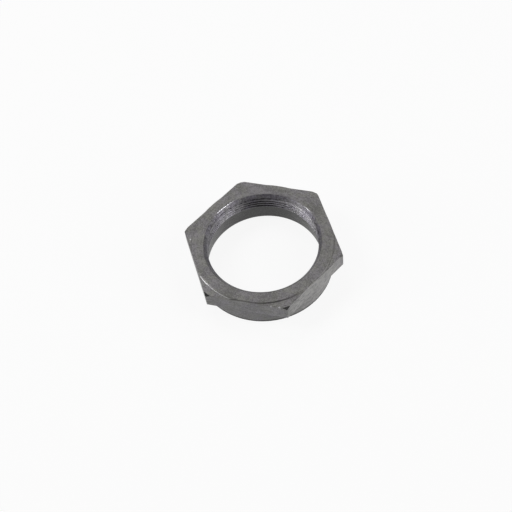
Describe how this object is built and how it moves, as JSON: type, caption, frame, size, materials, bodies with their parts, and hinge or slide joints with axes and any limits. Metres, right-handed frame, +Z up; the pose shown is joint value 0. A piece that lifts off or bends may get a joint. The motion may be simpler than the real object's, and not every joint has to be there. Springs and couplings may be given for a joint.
{
  "type": "thin hexagon nut with collar",
  "caption": "Thin steel hexagon nut with a round collar under the head, a fine internal thread with a countersunk mouth, and a plain relief bore below it.",
  "frame": {"origin": "on the nut's axis, at the collar's lower face, which is the seat the nut stands on", "axes": "+Z up along the axis, from the collar towards the hexagon head; two corners of the hexagon lie on X and two flats face +Y and -Y"},
  "size_m": [0.0586, 0.0508, 0.014],
  "materials": {
    "steel": "dark grey phosphate coating, matte, with fine turning marks on the chamfers and an oily sheen in the bore"
  },
  "bodies": {
    "root": {"hex_nut": "steel"}
  },
  "joints": []
}
